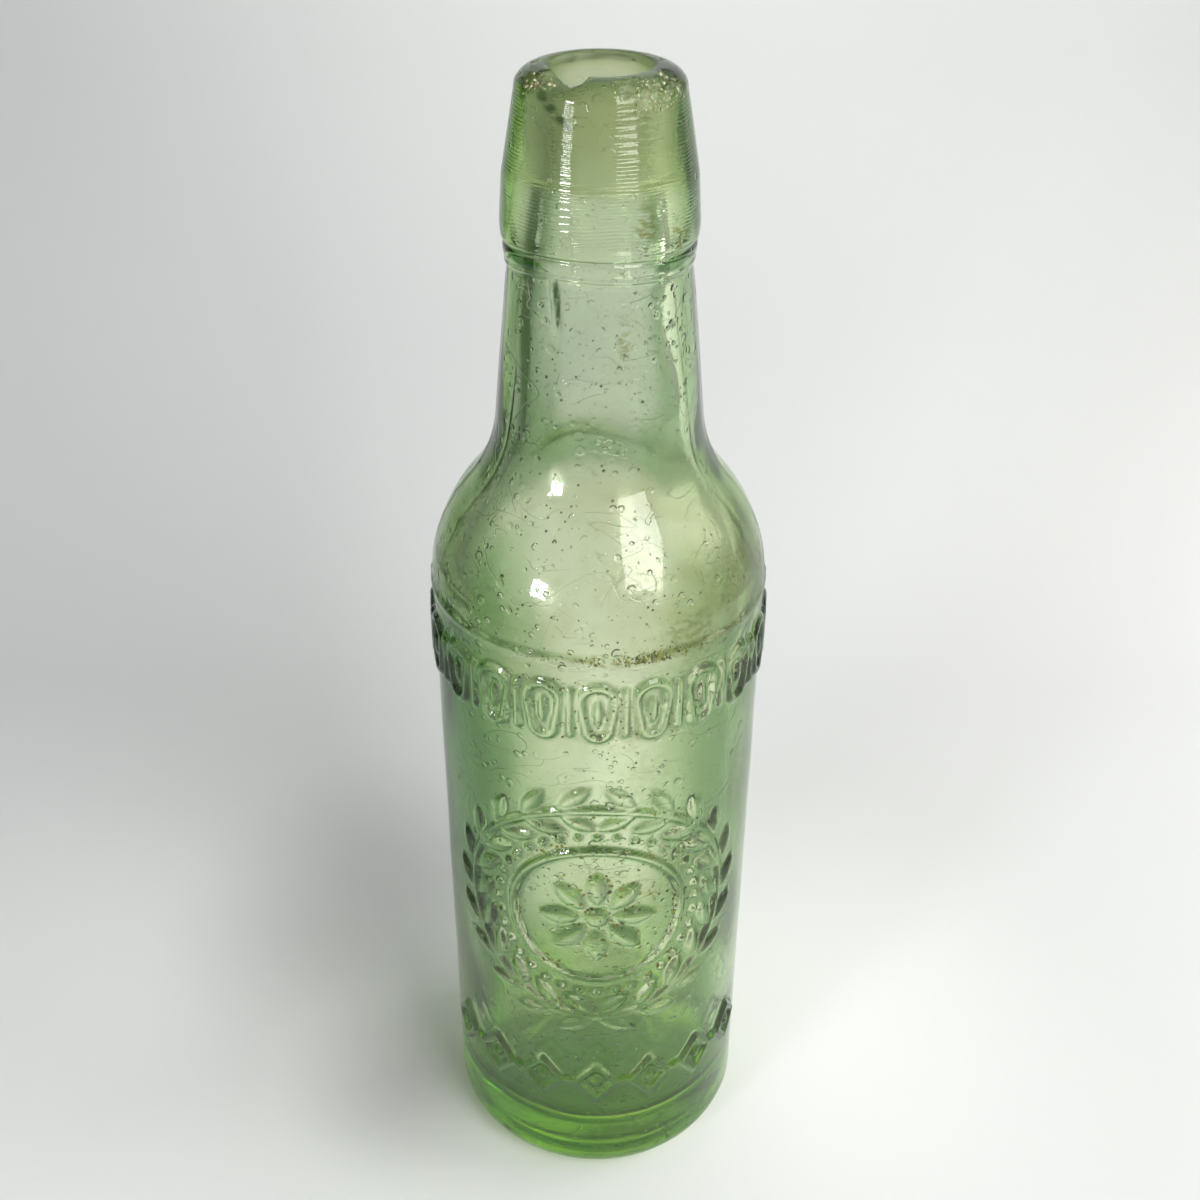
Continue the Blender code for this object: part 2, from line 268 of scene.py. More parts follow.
# Upright loops with kernels and darts, and below them the lozenges and pearls
def borderShapes(along, height):
    top = relief["upperTop"] - relief["strokeHalf"]
    foot = relief["upperTop"] - relief["upperHeight"] + relief["strokeHalf"]
    middle = (top + foot) / 2
    low, high = relief["loopWidth"] / 3, relief["loopWidth"] / 2
    dart = relief["dartLength"] / 2
    for i in range(relief["loopCount"]):
        right = along - (i - (relief["loopCount"] - 1) / 2) * relief["loopPitch"]
        yield stroke(loopOutline(right, height - foot - low, low, high, top - high - foot - low))
        yield leaf(right, height - middle, relief["kernel"], 0.0)
        if i < relief["loopCount"] - 1:
            nearest = np.clip(height, middle - dart, middle + dart)
            yield stroke(np.hypot(right - relief["loopPitch"] / 2, height - nearest))
    length, width = relief["lozenge"]
    up = height - (relief["lowerBottom"] + length / 2)
    halfLength, halfWidth = length / 2 - relief["strokeHalf"], width / 2
    scale = halfLength * halfWidth / math.hypot(halfLength, halfWidth)
    for i in range(relief["lozengeCount"]):
        right = along - (i - (relief["lozengeCount"] - 1) / 2) * relief["lozengePitch"]
        yield stroke(scale * np.abs(np.abs(right) / halfWidth + np.abs(up) / halfLength - 1.0))
        yield dome(np.hypot(right, up), relief["pearl"])
        if i < relief["lozengeCount"] - 1:
            yield dome(np.hypot(right - relief["lozengePitch"] / 2, up), relief["pearl"])


# Two rings, the paired leaves round the outer one, the rosette and the ring of beads
def wreathShapes(along, height):
    up = height - relief["wreathHeight"]
    reach = np.hypot(along, up)
    yield stroke(np.abs(reach - relief["wreathRadius"]))
    yield stroke(np.abs(reach - relief["ringRadius"]))
    yield dome(reach, relief["boss"])
    for i in range(relief["wreathPairs"]):
        around = 2 * math.pi * (i + 0.5) / relief["wreathPairs"]
        half = 1 if around < math.pi else -1
        for side in (-1, 1):
            radius = relief["wreathRadius"] + side * relief["wreathOffset"]
            lean = around - half * math.pi / 2 + half * side * math.radians(relief["wreathLean"])
            right = along - radius * math.sin(around)
            yield leaf(right, up - radius * math.cos(around), relief["wreathLeaf"], lean)
    for i in range(relief["petalCount"]):
        around = 2 * math.pi * i / relief["petalCount"]
        right = along - relief["petalOffset"] * math.sin(around)
        yield leaf(right, up - relief["petalOffset"] * math.cos(around), relief["petal"], around)
    for i in range(relief["beadCount"]):
        around = 2 * math.pi * i / relief["beadCount"]
        right = along - relief["beadRadius"] * math.sin(around)
        yield dome(np.hypot(right, up - relief["beadRadius"] * math.cos(around)), relief["bead"])


# Rise of the ornament over the plain side, for arc lengths from the front and heights
def reliefHeight(along, height):
    return reduce(np.maximum, chain(borderShapes(along, height), wreathShapes(along, height)))


# How far each place lies in a crease at the ornament's foot, and on a steep flank of it
def creaseAndFlank(along, height):
    near, close = relief["creaseReach"], relief["flankReach"]
    around = sum(reliefHeight(along + right, height + up) for right in (near, -near) for up in (near, -near))
    crease = np.clip((around / 4 - reliefHeight(along, height)) / relief["creaseDepth"], 0.0, 1.0)
    across = reliefHeight(along + close, height) - reliefHeight(along - close, height)
    upwards = reliefHeight(along, height + close) - reliefHeight(along, height - close)
    return crease, smooth(*relief["flankSlopes"], np.hypot(across, upwards) / (2 * close))


# Marks that blowing, tooling and use have left in the glass
handwork = {
    "outerWave": 0.035 * mm,
    "innerWave": 0.22 * mm,
    "innerFlute": 0.03 * mm,
    "seamHeight": 0.8 * mm,  # ring seam, above the top of the straight side
    "seamRise": 0.35 * mm,
    "seamHalf": 0.8 * mm,
    "sideSeamRise": 0.16 * mm,
    "sideSeamHalf": 0.7 * mm,
    "finAngle": (-28.8, -24.0),  # degrees from the front at the fin's top and foot
    "finHeight": (198.9 * mm, 189.0 * mm),
    "finRise": 0.9 * mm,
    "finHalf": 0.42 * mm,
    "footDroop": 1.3 * mm,  # how much lower the lip's foot is at the sides
    "chipRough": 0.05 * mm,
    # chips: angle from the front, turn up the crown from its side, reach and depth in mm
    "largeChips": [(-38, 80, 5.6, 2.5), (-57, 44, 3.4, 0.8), (-65, 50, 2.8, 0.5), (-22, 86, 3.0, 0.6)],
    # smaller ones: count, first angle and range, first turn and range, least reach and range, depth share
    "smallChips": [(22, 14, 54, 5, 80, 0.9, 1.5, 0.28), (8, 90, 180, 20, 60, 0.7, 0.8, 0.25)],
}


# Plane waves of random direction: their sum is a smooth random surface
def waveSet(seed, count, shortest, longest, stretch):
    source = np.random.default_rng(seed)
    direction = source.normal(size=(count, 3)) / np.array(stretch)
    direction /= np.linalg.norm(direction, axis=1, keepdims=True)
    length = shortest * (longest / shortest) ** source.random(count)
    return direction * (2 * math.pi / length)[:, None], source.random(count) * 2 * math.pi


def wavesAt(points, waves):
    vectors, phases = waves
    return np.sin(points @ vectors.T + phases).sum(1) * math.sqrt(2.0 / len(phases))


# Scoops broken out of the rim: each one's centre and reach
def chips():
    source = np.random.default_rng(7)
    scoops = list(handwork["largeChips"])
    for count, angle, angles, turn, turns, least, more, share in handwork["smallChips"]:
        for i in range(count):
            reach = least + more * source.random()
            place = (angle + angles * source.random(), turn + turns * source.random())
            scoops.append((*place, reach, reach * share))
    found = []
    for angle, turn, reach, depth in scoops:
        up = math.radians(turn)
        radius, height = crownPoints(np.array(up))
        around = math.radians(angle)
        axis = np.array([math.sin(around) * math.cos(up), -math.cos(around) * math.cos(up), math.sin(up)])
        start = np.array([radius * math.sin(around), -radius * math.cos(around), height])
        found.append((start + axis * (reach - depth) * mm, axis, reach * mm))
    return found


# How far and which way each point goes so that it lies on the deepest scoop's wall
def chipDepth(points, normals):
    depth = np.zeros(len(points))
    outwards = normals.copy()
    for centre, axis, reach in chips():
        offset = points - centre
        near = offset @ axis
        inside = near ** 2 - np.einsum("ij,ij->i", offset, offset) + reach ** 2
        push = near + np.sqrt(np.clip(inside, 0.0, None))
        hit = (inside > near ** 2) & (push > depth)
        depth = np.where(hit, push, depth)
        outwards[hit] = axis
    return depth, outwards


def columnAngles():
    half = fineness["frontHalf"] / form["bodyRadius"]
    front = np.linspace(-half, half, fineness["frontColumns"] + 1)
    back = np.linspace(half, 2 * math.pi - half, fineness["backColumns"] + 1)[1:-1]
    return np.concatenate([front, back])


# Distance to the next row of faces and the spacing of its columns
def stepAt(radius, height, inner):
    if inner:
        if height > neckEnd + 1.5 * mm:
            return fineness["lipStep"], 2
        if height > neckEnd - 3.0 * mm:
            return fineness["edgeStep"], 2
        if height > form["seat"] - 8.0 * mm:
            return fineness["plainStep"], 2
        return fineness["innerStep"], 4
    if height > rimHeight - form["crownHeight"] - 2.0 * mm:
        return fineness["edgeStep"], 2
    if height > form["seat"] + 5.0 * mm:
        return fineness["lipStep"], 2
    if height > form["seat"] - 0.5 * mm:
        return fineness["edgeStep"], 2
    if height > form["bodyHeight"] + 3.0 * mm:
        return fineness["plainStep"], 2
    if radius < form["bodyRadius"] - 0.1 * mm and height < form["heelRadius"]:
        return (fineness["plainStep"], 2) if radius > form["pushUpRadius"] else (fineness["innerStep"], 4)
    if height < relief["lowerBottom"] - 1.5 * mm:
        return fineness["plainStep"], 2
    return fineness["reliefStep"], 1


# Rows of the mesh along a dense (radius, height) line: place, normal and column spacing
def rowsAlong(line, inner):
    length = np.concatenate([[0.0], np.cumsum(np.hypot(*np.diff(line, axis=0).T))])
    places = [0.0]
    spacing = []
    while True:
        radius = np.interp(places[-1], length, line[:, 0])
        height = np.interp(places[-1], length, line[:, 1])
        step, columns = stepAt(radius, height, inner)
        spacing.append(columns)
        if places[-1] + 1.5 * step >= length[-1]:
            break
        places.append(places[-1] + step)
    places.append(length[-1])
    spacing.append(spacing[-1])
    places = np.array(places)
    reach = 0.12 * mm
    before = np.clip(places - reach, 0.0, length[-1])
    after = np.clip(places + reach, 0.0, length[-1])
    rows, ahead, behind = (
        np.stack([np.interp(at, length, line[:, k]) for k in (0, 1)], 1) for at in (places, after, before)
    )
    tangent = ahead - behind
    tangent /= np.linalg.norm(tangent, axis=1, keepdims=True)
    return rows, np.stack([tangent[:, 1], -tangent[:, 0]], 1), spacing


# Every vertex of the turned glass, row by row: turn, radius, height, normal, and whether it is inside
def glassSurface():
    angles = columnAngles()
    outer, outerNormal, outerSpacing = rowsAlong(outerLine(), False)
    inner, innerNormal, innerSpacing = rowsAlong(innerLine(), True)
    rows = np.concatenate([outer, inner])
    normals = np.concatenate([outerNormal, innerNormal])
    isInner = np.arange(len(rows)) >= len(outer)
    layout, parts, start = [], [], 0
    for row, normal, inside, space in zip(rows, normals, isInner, outerSpacing + innerSpacing):
        pole = row[0] < 1e-7
        turn = angles[:1] if pole else angles[::space]
        rest = np.tile([*row, *normal, float(inside)], (len(turn), 1))
        parts.append(np.column_stack([turn, rest]))
        layout.append((start, len(turn)))
        start += len(turn)
    return np.concatenate(parts), layout


def centredTurn(turn):
    return (turn + math.pi) % (2 * math.pi) - math.pi


# Ring seam above the ornament, and the seams down the sides with the fin on the neck
def seams(turn, radius, height):
    aboveSide = height - form["bodyHeight"] - handwork["seamHeight"]
    ring = handwork["seamRise"] * np.exp(-((aboveSide / handwork["seamHalf"]) ** 2))
    fromSeam = np.abs(np.abs(turn) - math.pi / 2) * radius
    side = handwork["sideSeamRise"] * np.exp(-((fromSeam / handwork["sideSeamHalf"]) ** 2))
    side *= smooth(2 * mm, 8 * mm, height) * smooth(form["seat"], form["seat"] - 6 * mm, height)
    finTop, finFoot = handwork["finHeight"]
    topAngle, footAngle = handwork["finAngle"]
    share = (height - finFoot) / (finTop - finFoot)
    fromFin = (turn - np.radians(footAngle + (topAngle - footAngle) * share)) * radius
    fin = handwork["finRise"] * np.exp(-((fromFin / handwork["finHalf"]) ** 2))
    return ring, side + fin * smooth(0.0, 0.4, share) * (height < form["seat"])


# Every vertex with the ornament and the handwork, and the masks that the material reads
def displaced(table):
    turn, radius, height, outwards, upwards, inner = table.T
    sine, cosine = np.sin(turn), np.cos(turn)
    points = np.stack([radius * sine, -radius * cosine, height], 1)
    normals = np.stack([outwards * sine, -outwards * cosine, upwards], 1)
    turn = centredTurn(turn)
    seat = form["seat"]
    outside = inner < 0.5

    # ornament, seams and slow waves of the outside
    onSide = outside & (height > form["heelRadius"]) & (height < form["bodyHeight"] + 3 * mm)
    along = turn[onSide] * form["bodyRadius"]
    shift, crease, flank = np.zeros((3, len(table)))
    shift[onSide] = reliefHeight(along, height[onSide])
    crease[onSide], flank[onSide] = creaseAndFlank(along, height[onSide])
    ringSeam, otherSeams = seams(turn, radius, height)
    crease = np.maximum(crease, np.where(outside, 0.8 * ringSeam / handwork["seamRise"], 0.0))
    wave = handwork["outerWave"] * wavesAt(points, waveSet(3, 14, 14 * mm, 40 * mm, (1, 1, 1.6)))
    away = smooth(0.0, 3 * mm, height) * smooth(rimHeight, rimHeight - 5 * mm, height)
    shift += np.where(outside, (ringSeam + otherSeams + wave) * away, 0.0)
    shift = np.minimum(shift, relief["leafRise"])

    # waves of the inside, calmer up in the neck
    hollow = handwork["innerWave"] * wavesAt(points, waveSet(11, 16, 14 * mm, 46 * mm, (1, 1, 1.5)))
    hollow += handwork["innerFlute"] * wavesAt(points, waveSet(12, 16, 5 * mm, 11 * mm, (1, 1, 9)))
    hollow *= smooth(seat + 12 * mm, seat - 25 * mm, height) * 0.85 + 0.15
    shift += np.where(outside, 0.0, hollow * smooth(rimHeight, rimHeight - 4 * mm, height))

    # chips with rough walls
    chipped, outwards = chipDepth(points, normals)
    rough = handwork["chipRough"] * wavesAt(points, waveSet(21, 20, 0.9 * mm, 2.4 * mm, (1, 1, 1)))
    shift = np.where(chipped > 0.0, np.minimum(rough - chipped, 0.0), shift)
    moved = points + outwards * shift[:, None]

    # uneven foot of the lip
    foot = outside & (height > seat - 0.2 * mm) & (height < seat + 6 * mm)
    tilt = handwork["footDroop"] * (np.sin(turn) ** 2 + 0.25 * np.sin(3 * turn + 0.6))
    moved[:, 2] -= np.where(foot, tilt * smooth(seat + 6 * mm, seat + 2 * mm, height), 0.0)

    inBody = smooth(176 * mm, 160 * mm, height)
    inLip = smooth(seat + 9 * mm, seat + 14 * mm, height)
    inside = inner * np.maximum(np.maximum(inBody, 1.6 * inLip), 0.3)
    chipped = smooth(0.0, 0.25 * mm, chipped)
    return moved, {"crease": crease, "chipped": chipped, "inside": inside, "flank": flank}


# Faces between neighbouring rows, where a row may have half the columns of its neighbour
def joinRows(layout):
    faces = []
    for (first, count), (second, others) in zip(layout[:-1], layout[1:]):
        if count == 1:
            faces += [(first, second + (j + 1) % others, second + j) for j in range(others)]
        elif others == 1:
            faces += [(first + j, first + (j + 1) % count, second) for j in range(count)]
        elif count == others:
            nexts = [(j + 1) % count for j in range(count)]
            faces += [(first + j, first + nexts[j], second + nexts[j], second + j) for j in range(count)]
        elif count > others:
            for j in range(others):
                a, b, c = first + 2 * j, first + 2 * j + 1, first + (2 * j + 2) % count
                low, high = second + j, second + (j + 1) % others
                faces += [(a, b, low), (b, high, low), (b, c, high)]
        else:
            for j in range(count):
                low, high = first + j, first + (j + 1) % count
                a, b, c = second + 2 * j, second + 2 * j + 1, second + (2 * j + 2) % others
                faces += [(low, b, a), (low, high, b), (high, c, b)]
    return faces


def linked(name, data):
    obj = bpy.data.objects.new(name, data)
    bpy.context.scene.collection.objects.link(obj)
    return obj


def makeGlass(material):
    table, layout = glassSurface()
    points, masks = displaced(table)
    mesh = bpy.data.meshes.new("bottleGlass")
    mesh.from_pydata(points.tolist(), [], joinRows(layout))
    for name, values in masks.items():
        attribute = mesh.attributes.new(name, "FLOAT", "POINT")
        attribute.data.foreach_set("value", values.astype(np.float32))
    mesh.shade_smooth()
    mesh.update()
    mesh.materials.append(material)
    glass = linked("bottleGlass", mesh)
    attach(glass, "root")
    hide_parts("blown_body", "applied_lip")
    triangles = sum(len(face.vertices) - 2 for face in mesh.polygons)
    print("glass:", len(mesh.vertices), "vertices,", triangles, "triangles")
    outside = table[:, 5] < 0.5
    normals = np.zeros(3 * len(mesh.vertices))
    mesh.vertices.foreach_get("normal", normals)
    places = (centredTurn(table[outside, 0]), points[outside, 2], masks["crease"][outside])
    return points[outside], normals.reshape(-1, 3)[outside], places


# Dirt that lies on the glass: (count, angles from the front, heights in mm, largest grain in mm)
dirt = {
    "soil": [
        (230, (-30, 62), (136.6, 138.6), 0.38),  # along the ring seam
        (230, (8, 30), (136.4, 139.4), 0.48),
        (150, (12, 21), (136.6, 139.6), 0.52),
        (70, (-6, 1), (136.8, 138.6), 0.42),
        (300, (18, 56), (138.0, 146.0), 0.30),  # smear over the seam on the right
        (110, (6, 24), (138.0, 150.0), 0.28),
        (150, (44, 74), (142.0, 170.0), 0.32),
        (90, (-60, 60), (140.0, 176.0), 0.22),
        (40, (5, 13), (127.0, 130.0), 0.40),
        (60, (-40, 60), (104.0, 134.0), 0.18),
        (110, (-50, 60), (119.0, 134.0), 0.60),
        (220, (-34, 36), (50.0, 106.0), 0.85),
        (160, (-20, 30), (64.0, 96.0), 0.95),
        (40, (-50, 50), (24.0, 37.0), 0.28),
        (60, (8, 20), (184.0, 196.0), 0.28),  # down the neck
        (30, (-30, 50), (176.0, 199.0), 0.16),
        (50, (20, 42), (200.0, 211.0), 0.26),
        (24, (-40, 60), (200.0, 224.0), 0.16),
        (90, (-180, 180), (4.0, 226.0), 0.18),
    ],
    "crumbs": [
        (130, (16, 70), (225.2, 229.0), 0.75),  # broken rim on the right
        (46, (24, 50), (224.2, 226.4), 0.45),
        (50, (-64, -46), (226.4, 229.0), 0.85),  # broken rim on the left
        (20, (-150, 120), (226.8, 229.0), 0.4),
    ],
    "soilColors": ((0.055, 0.058, 0.010, 1.0), (0.27, 0.265, 0.05, 1.0)),  # dark and pale
    "crumbColors": ((0.20, 0.20, 0.09, 1.0), (0.74, 0.72, 0.50, 1.0)),
    "roughness": 0.75,
    "mottleScale": 700.0,
    "roughScale": 2600.0,
    "roughDepth": 0.05 * mm,
    "grainsToMiddle": 9,  # grains gather round a few middles
    "gather": 1.4 * mm,
    "stray": 0.12,
    "offCrease": 0.06,  # odds of a grain on plain glass against one in a full crease
    "flatness": 0.42,
    "sink": 0.04 * mm,
    "jitter": 0.25 * mm,
    "boxMargin": 0.02 * mm,
}


# Small uneven lump about the origin, one unit in reach
def pebble(source):
    sheet = bmesh.new()
    bmesh.ops.create_icosphere(sheet, subdivisions=1, radius=1.0)
    corners = np.array([corner.co[:] for corner in sheet.verts])
    faces = np.array([[corner.index for corner in face.verts] for face in sheet.faces])
    sheet.free()
    return corners * source.uniform(0.72, 1.18, (len(corners), 1)), faces


# One object of many grains, each half sunk in the glass
def scatter(name, patches, points, normals, place, material, seed):
    source = np.random.default_rng(seed)
    turn, height, crease = place
    angle = np.degrees(turn)
    lowest, highest = (np.array(corner) for corner in cadBox)
    corners, faces, start = [], [], 0
    for count, (left, right), (low, high), largest in patches:
        inside = (height > low * mm) & (height < high * mm)
        candidates = np.flatnonzero(inside & (angle > left) & (angle < right))
        if not len(candidates):
            continue
        middles = points[source.choice(candidates, max(3, count // dirt["grainsToMiddle"]))]
        reach = np.linalg.norm(points[candidates][:, None] - middles[None], axis=2).min(1)
        odds = np.exp(-((reach / dirt["gather"]) ** 2)) + dirt["stray"]
        odds *= dirt["offCrease"] + crease[candidates]
        for index in source.choice(candidates, count, p=odds / odds.sum()):
            normal = normals[index]
            side = np.cross(normal, source.normal(size=3))
            side /= np.linalg.norm(side)
            across = np.cross(normal, side)
            size = largest * mm * (0.25 + 0.75 * source.random() ** 2.2) / 2
            lump, triangles = pebble(source)
            longer = side * size * source.uniform(0.8, 1.7)
            axes = np.stack([longer, across * size, normal * size * dirt["flatness"]])
            jitter = (side * source.normal() + across * source.normal()) * dirt["jitter"]
            grain = lump @ axes + points[index] + jitter - normal * dirt["sink"]
            corners.append(np.clip(grain, lowest + dirt["boxMargin"], highest - dirt["boxMargin"]))
            faces.append(triangles + start)
            start += len(lump)
    mesh = bpy.data.meshes.new(name)
    mesh.from_pydata(np.concatenate(corners).tolist(), [], np.concatenate(faces).tolist())
    mesh.shade_smooth()
    mesh.materials.append(material)
    grains = linked(name, mesh)
    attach(grains, "root")
    print(name + ":", len(mesh.polygons), "triangles")
    return grains


def feed(tree, value, socket):
    if isinstance(value, bpy.types.NodeSocket):
        tree.links.new(value, socket)
    else:
        socket.default_value = value


# New node with values on, or links to, some of its inputs
def added(tree, kind, values, group=None):
    node = tree.nodes.new("ShaderNode" + kind)
    if group:
        node.node_tree = group
    for name, value in values.items():
        feed(tree, value, node.inputs[name])
    return node


# One maths node, or a chain of them where there are more than two values
def maths(tree, operation, first, *others):
    for second in others or (0.0,):
        node = added(tree, "Math", {0: first, 1: second})
        node.operation = operation
        first = node.outputs[0]
    return first


def times(tree, *values):
    return maths(tree, "MULTIPLY", *values)


def most(tree, *values):
    return maths(tree, "MAXIMUM", *values)


def vectors(tree, operation, first, second=(0.0, 0.0, 0.0)):
    node = added(tree, "VectorMath", {0: first, 1: second})
    node.operation = operation
    return node.outputs["Value" if operation == "LENGTH" else "Vector"]


# Smooth step of a value from one level to another
def ramp(tree, value, low, high, first=0.0, second=1.0):
    levels = {"Value": value, "From Min": low, "From Max": high, "To Min": first, "To Max": second}
    node = added(tree, "MapRange", levels)
    node.interpolation_type = "SMOOTHSTEP"
    return node.outputs["Result"]


def blend(tree, share, first, second, way="MIX"):
    node = tree.nodes.new("ShaderNodeMix")
    node.data_type = "RGBA"
    node.blend_type = way
    for index, value in ((0, share), (6, first), (7, second)):
        feed(tree, value, node.inputs[index])
    return node.outputs[2]


def noise(tree, place, scale, detail=2.0, distortion=0.0):
    values = {"Vector": place, "Scale": scale, "Detail": detail, "Distortion": distortion}
    return added(tree, "TexNoise", values).outputs["Fac"]


# Noise cut between two of its levels
def patchy(tree, place, scale, detail, low, high, first=0.0, second=1.0):
    return ramp(tree, noise(tree, place, scale, detail), low, high, first, second)


# Empty node group with named sockets, given as name and kind
def newGroup(name, inputs, outputs):
    group = bpy.data.node_groups.new(name, "ShaderNodeTree")
    for way, sockets in (("INPUT", inputs), ("OUTPUT", outputs)):
        for label, kind in sockets.items():
            group.interface.new_socket(label, in_out=way, socket_type="NodeSocket" + kind)
    return group, group.nodes.new("NodeGroupInput").outputs, group.nodes.new("NodeGroupOutput").inputs


# Soft egg-shaped patch round a point of the object, full within its core and gone at its reach
def softPatchGroup():
    inputs = {"Place": "Vector", "Centre": "Vector", "Reach": "Vector", "Core": "Float", "Strength": "Float"}
    group, given, found = newGroup("softPatch", inputs, {"Mask": "Float"})
    offset = vectors(group, "SUBTRACT", given["Place"], given["Centre"])
    length = vectors(group, "LENGTH", vectors(group, "DIVIDE", offset, given["Reach"]))
    group.links.new(ramp(group, length, 1.0, given["Core"], 0.0, given["Strength"]), found["Mask"])
    return group


# Mottled colour and rough height of small grains, where the seed moves the pattern
def grainyDirtGroup():
    inputs = {"Place": "Vector", "Seed": "Float", "Dark": "Color", "Pale": "Color", "Depth": "Float"}
    group, given, found = newGroup("grainyDirt", inputs, {"Color": "Color", "Height": "Float"})
    place = vectors(group, "ADD", given["Place"], given["Seed"])
    share = patchy(group, place, dirt["mottleScale"], 2.0, 0.35, 0.65)
    group.links.new(blend(group, share, given["Dark"], given["Pale"]), found["Color"])
    height = times(group, noise(group, place, dirt["roughScale"], 3.0), given["Depth"])
    group.links.new(height, found["Height"])
    return group


softPatch = softPatchGroup()
grainyDirt = grainyDirtGroup()


def newMaterial(name):
    material = bpy.data.materials.new(name)
    material.use_nodes = True
    return material, material.node_tree, material.node_tree.nodes["Principled BSDF"]


def grainMaterial(name, colors, seed):
    material, tree, shader = newMaterial(name)
    values = {
        "Place": tree.nodes.new("ShaderNodeTexCoord").outputs["Object"],
        "Seed": seed,
        "Dark": colors[0],
        "Pale": colors[1],
        "Depth": dirt["roughDepth"],
    }
    grain = added(tree, "Group", values, grainyDirt).outputs
    bump = added(tree, "Bump", {"Strength": 1.0, "Distance": 1.0, "Height": grain["Height"]})
    tree.links.new(grain["Color"], shader.inputs["Base Color"])
    tree.links.new(bump.outputs[0], shader.inputs["Normal"])
    shader.inputs["Roughness"].default_value = dirt["roughness"]
    return material


# Mask of one soft patch: its middle and reach in mm, its core and its strength
def patchMask(tree, place, patch):
    centre, reach = (tuple(side * mm for side in sides) for sides in patch[:2])
    values = {"Place": place, "Centre": centre, "Reach": reach, "Core": patch[2], "Strength": patch[3]}
    return added(tree, "Group", values, softPatch).outputs["Mask"]


def patchMasks(tree, place, patches, start=0.0):
    return most(tree, start, *(patchMask(tree, place, patch) for patch in patches))


# Round marks in a share of the cells of a cell pattern, and what tells one from the next
def roundMarks(tree, place, scale, share, size, least):
    cell = added(tree, "TexVoronoi", {"Vector": place, "Scale": scale}).outputs
    dice = added(tree, "SeparateColor", {0: cell["Color"]}).outputs
    chosen = maths(tree, "LESS_THAN", dice[0], share)
    reach = maths(tree, "ADD", times(tree, dice[1], size), size * least)
    part = maths(tree, "DIVIDE", cell["Distance"], reach)  # of the way from the middle to the edge
    return chosen, part, reach, cell["Position"], dice[2]


def spots(tree, place, scale, share, size):
    chosen, part = roundMarks(tree, place, scale, share, size, 0.3)[:2]
    return times(tree, chosen, most(tree, maths(tree, "SUBTRACT", 1.0, part), 0.0))


# Shallow round pits, and the dirt that lines their upper edge
def openBubbles(tree, place, scale, share, size):
    chosen, part, reach, middle, dice = roundMarks(tree, place, scale, share, size, 0.35)
    hollow = times(tree, chosen, ramp(tree, part, 1.0, 0.4))
    offset = added(tree, "SeparateXYZ", {0: vectors(tree, "SUBTRACT", place, middle)}).outputs
    lean = times(tree, maths(tree, "SUBTRACT", dice, 0.5), 1.6)  # turns the lined side from pit to pit
    up = maths(tree, "ADD", offset["Z"], times(tree, offset["X"], lean))
    upper = ramp(tree, maths(tree, "DIVIDE", times(tree, up, scale), reach), 0.05, 0.45)
    ring = times(tree, ramp(tree, part, 0.62, 0.80), ramp(tree, part, 1.06, 0.92))
    return hollow, times(tree, ring, upper, chosen)


# Place pushed about by a noise, so that round marks come out uneven
def bentPlace(tree, place, scale, reach):
    push = added(tree, "TexNoise", {"Vector": place, "Scale": scale, "Detail": 1.0}).outputs["Color"]
    push = vectors(tree, "ADD", push, (-0.5, -0.5, -0.5))
    return vectors(tree, "ADD", place, vectors(tree, "MULTIPLY", push, (reach, reach, reach)))


# Thin curved lines where a noise passes its middle, in patches only
def hairlines(tree, place, scale, width, gateScale, gate):
    line = maths(tree, "ABSOLUTE", maths(tree, "SUBTRACT", noise(tree, place, scale, 1.0, 0.6), 0.5))
    return times(tree, ramp(tree, line, width, 0.0), patchy(tree, place, gateScale, 1.0, gate, gate + 0.05))


# Fine rings round the axis, pushed up and down by a wobble
def rings(tree, height, pitch, wobble):
    return maths(tree, "SINE", maths(tree, "ADD", times(tree, height, 2 * math.pi / pitch), wobble))


